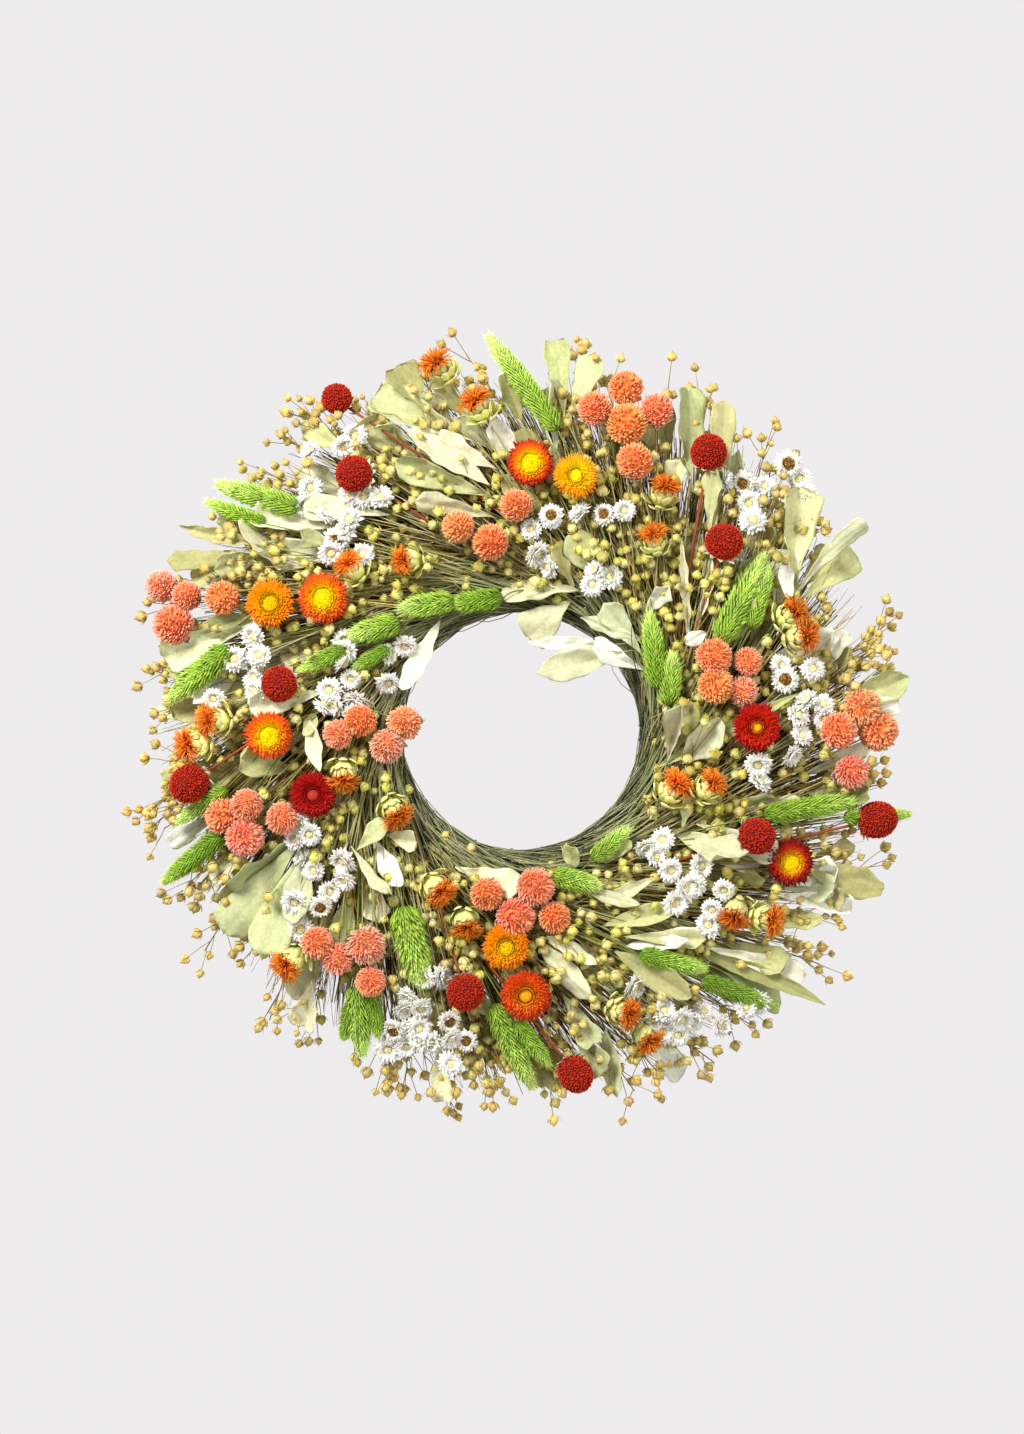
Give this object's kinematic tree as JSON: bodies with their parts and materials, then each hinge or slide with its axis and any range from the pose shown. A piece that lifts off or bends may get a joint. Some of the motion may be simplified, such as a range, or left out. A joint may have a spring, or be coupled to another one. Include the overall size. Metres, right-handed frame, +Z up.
{
  "type": "harvest door wreath",
  "caption": "Round door wreath of dried flowers, seed heads, grasses and leaves bound to a double-rail wire ring, with a hanging loop that folds back.",
  "frame": {"origin": "the point inside the top of the hanging loop where the hook or nail bears, in the plane of the loop and the ring's rails", "axes": "+Z up as the wreath hangs, +Y into the door, so the flowers face -Y; +X is the viewer's right seen from the front"},
  "size_m": [0.55, 0.0987, 0.5534],
  "materials": {
    "green_wire": "satin",
    "bright_wire": "satin",
    "bound_stems": "matte",
    "fine_stems": "matte",
    "leaves": "matte",
    "grass_spikes": "matte",
    "globe_flowers": "matte",
    "drumstick_flowers": "matte",
    "strawflower_red": "satin",
    "strawflower_crimson": "satin",
    "strawflower_orange": "satin",
    "strawflower_yellow": "satin",
    "white_flowers": "matte",
    "safflowers": "matte",
    "seed_heads": "matte"
  },
  "bodies": {
    "wreath": {"wire_frame": "green_wire", "stem_core": "bound_stems", "binding_wire": "green_wire", "drumstick_01": "drumstick_flowers", "drumstick_02": "drumstick_flowers", "drumstick_03": "drumstick_flowers", "drumstick_04": "drumstick_flowers", "drumstick_05": "drumstick_flowers", "drumstick_06": "drumstick_flowers", "drumstick_07": "drumstick_flowers", "drumstick_08": "drumstick_flowers", "drumstick_09": "drumstick_flowers", "drumstick_10": "drumstick_flowers", "strawflower_01": "strawflower_red", "strawflower_02": "strawflower_yellow", "strawflower_03": "strawflower_orange", "strawflower_04": "strawflower_red", "strawflower_05": "strawflower_orange", "strawflower_06": "strawflower_crimson", "strawflower_07": "strawflower_red", "strawflower_08": "strawflower_crimson", "strawflower_09": "strawflower_orange", "strawflower_10": "strawflower_red", "globes_01": "globe_flowers", "globes_02": "globe_flowers", "globes_03": "globe_flowers", "globes_04": "globe_flowers", "globes_05": "globe_flowers", "globes_06": "globe_flowers", "globes_07": "globe_flowers", "globes_08": "globe_flowers", "globes_09": "globe_flowers", "greens_01": "leaves", "greens_02": "leaves", "greens_03": "leaves", "greens_04": "leaves", "greens_05": "leaves", "greens_06": "leaves", "greens_07": "leaves", "greens_08": "leaves", "greens_09": "leaves", "greens_10": "leaves", "spray_01": "fine_stems", "spray_02": "fine_stems", "spray_03": "fine_stems", "spray_04": "fine_stems", "spray_05": "fine_stems", "spray_06": "fine_stems", "spray_07": "fine_stems", "spray_08": "fine_stems", "spray_09": "fine_stems", "spray_10": "fine_stems"},
    "loop": {"hanging_loop": "bright_wire"}
  },
  "joints": [
    {"name": "loop_fold", "type": "hinge", "parent": "wreath", "child": "loop", "pos_m": [0, 0, -0.032], "axis": [-1, 0, 0], "range_deg": [0, 150]}
  ]
}
